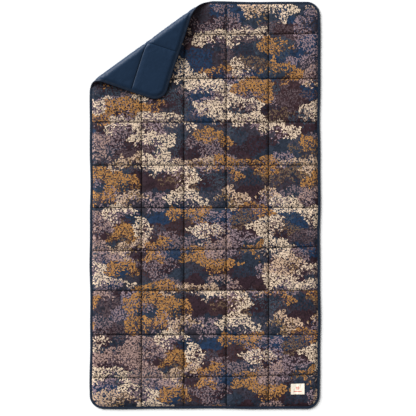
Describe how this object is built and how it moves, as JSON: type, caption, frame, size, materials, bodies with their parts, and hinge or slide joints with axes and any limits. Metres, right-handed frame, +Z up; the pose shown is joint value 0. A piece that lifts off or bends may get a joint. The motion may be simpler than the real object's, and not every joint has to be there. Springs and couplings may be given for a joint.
{
  "type": "camp blanket",
  "caption": "Rectangular box-quilted camp blanket, printed face up, spread flat with one corner turned back to show its plain lining; the corner unrolls.",
  "frame": {"origin": "on the ground under the middle of the blanket", "axes": "+Y runs along the blanket to its head end, +X to its right-hand side seen from above, +Z up"},
  "size_m": [1.072, 1.896, 0.051],
  "materials": {
    "printed_taffeta": "printed plain weave",
    "lining_taffeta": "dyed plain weave, soft sheen",
    "batting": "lofted fibre",
    "binding_tape": "folded bias tape",
    "sewing_thread": "spun thread",
    "label_cloth": "woven label",
    "label_thread": "spun thread"
  },
  "bodies": {
    "blanket": {"binding_stitch_back": "sewing_thread", "binding_stitch_face": "sewing_thread", "crosswise_seam_1": "sewing_thread", "crosswise_seam_2": "sewing_thread", "crosswise_seam_3": "sewing_thread", "crosswise_seam_4": "sewing_thread", "crosswise_seam_5": "sewing_thread", "crosswise_seam_6": "sewing_thread", "crosswise_seam_7": "sewing_thread", "crosswise_seam_8": "sewing_thread", "crosswise_seam_9": "sewing_thread", "edge_binding": "binding_tape", "face_lower_panel": "printed_taffeta", "face_upper_panel": "printed_taffeta", "fill": "batting", "label": "label_cloth", "label_stitch": "label_thread", "lengthwise_seam_1": "sewing_thread", "lengthwise_seam_2": "sewing_thread", "lengthwise_seam_3": "sewing_thread", "lengthwise_seam_4": "sewing_thread", "lining": "lining_taffeta"},
    "fold_1": {"fold_1_binding_head": "binding_tape", "fold_1_binding_side": "binding_tape", "fold_1_face": "printed_taffeta", "fold_1_fill": "batting", "fold_1_lining": "lining_taffeta"},
    "fold_2": {"fold_2_binding_head": "binding_tape", "fold_2_binding_side": "binding_tape", "fold_2_face": "printed_taffeta", "fold_2_fill": "batting", "fold_2_lining": "lining_taffeta"},
    "fold_3": {"fold_3_binding_head": "binding_tape", "fold_3_binding_side": "binding_tape", "fold_3_face": "printed_taffeta", "fold_3_fill": "batting", "fold_3_lining": "lining_taffeta"},
    "corner": {"corner_binding_stitch_back": "sewing_thread", "corner_binding_stitch_face": "sewing_thread", "corner_crosswise_seam_1": "sewing_thread", "corner_edge_binding": "binding_tape", "corner_face": "printed_taffeta", "corner_fill": "batting", "corner_lengthwise_seam_1": "sewing_thread", "corner_lining": "lining_taffeta"}
  },
  "joints": [
    {"name": "corner_fold", "type": "hinge", "parent": "blanket", "child": "fold_1", "pos_m": [-0.26458, 0.74551, 0], "axis": [-0.8091, -0.5876, 0], "range_deg": [0, 46.53]},
    {"name": "corner_fold_2", "type": "hinge", "parent": "fold_1", "child": "fold_2", "pos_m": [-0.27327, 0.75748, 0.01561], "axis": [-0.8091, -0.5876, 0], "range_deg": [0, 46.53]},
    {"name": "corner_fold_3", "type": "hinge", "parent": "fold_2", "child": "fold_3", "pos_m": [-0.27259, 0.75654, 0.03708], "axis": [-0.8091, -0.5876, 0], "range_deg": [0, 46.53]},
    {"name": "corner_fold_4", "type": "hinge", "parent": "fold_3", "child": "corner", "pos_m": [-0.26297, 0.74329, 0.05101], "axis": [-0.8091, -0.5876, 0], "range_deg": [0, 46.53]}
  ],
  "couplings": [
    {"joint": "corner_fold_2", "follows": "corner_fold", "ratio": 1},
    {"joint": "corner_fold_3", "follows": "corner_fold", "ratio": 1},
    {"joint": "corner_fold_4", "follows": "corner_fold", "ratio": 1}
  ]
}
